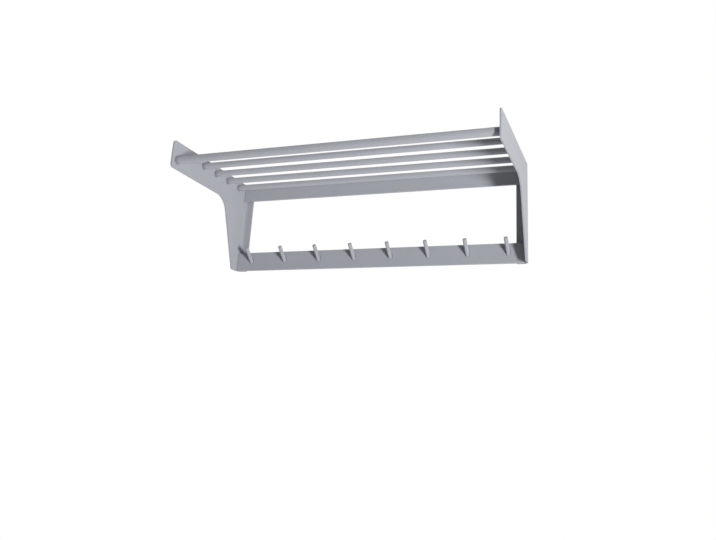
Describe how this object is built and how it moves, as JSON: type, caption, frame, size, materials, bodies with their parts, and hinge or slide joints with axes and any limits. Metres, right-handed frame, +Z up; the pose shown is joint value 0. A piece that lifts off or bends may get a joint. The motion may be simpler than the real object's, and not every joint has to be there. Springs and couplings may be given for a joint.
{
  "type": "hat rack",
  "caption": "Wall-mounted hat and coat rack: bent-sheet gables carry a shelf of tubes, a hanger tube at the front and a lower rail with slanting pegs.",
  "frame": {"origin": "on the wall plane, midway between the two wall-screw holes", "axes": "+X along the rack to the right as seen from the room, +Y into the wall, +Z up"},
  "size_m": [0.651, 0.29, 0.2035],
  "materials": {
    "gable_lacquer": "satin silver-grey lacquer",
    "rail_lacquer": "satin silver-grey lacquer",
    "tube_lacquer": "satin silver-grey lacquer",
    "peg_lacquer": "satin silver-grey lacquer",
    "spigot_steel": "bare turned steel"
  },
  "bodies": {
    "root": {"left_gable": "gable_lacquer", "right_gable": "gable_lacquer", "upper_rail": "rail_lacquer", "lower_rail": "rail_lacquer", "shelf_tube_1": "tube_lacquer", "shelf_tube_2": "tube_lacquer", "shelf_tube_3": "tube_lacquer", "shelf_tube_4": "tube_lacquer", "hanger_tube": "tube_lacquer", "peg_1": "peg_lacquer", "peg_2": "peg_lacquer", "peg_3": "peg_lacquer", "peg_4": "peg_lacquer", "peg_5": "peg_lacquer", "peg_6": "peg_lacquer", "peg_7": "peg_lacquer", "peg_8": "peg_lacquer", "shelf_tube_spigots": "spigot_steel", "hanger_tube_spigots": "spigot_steel"}
  },
  "joints": []
}
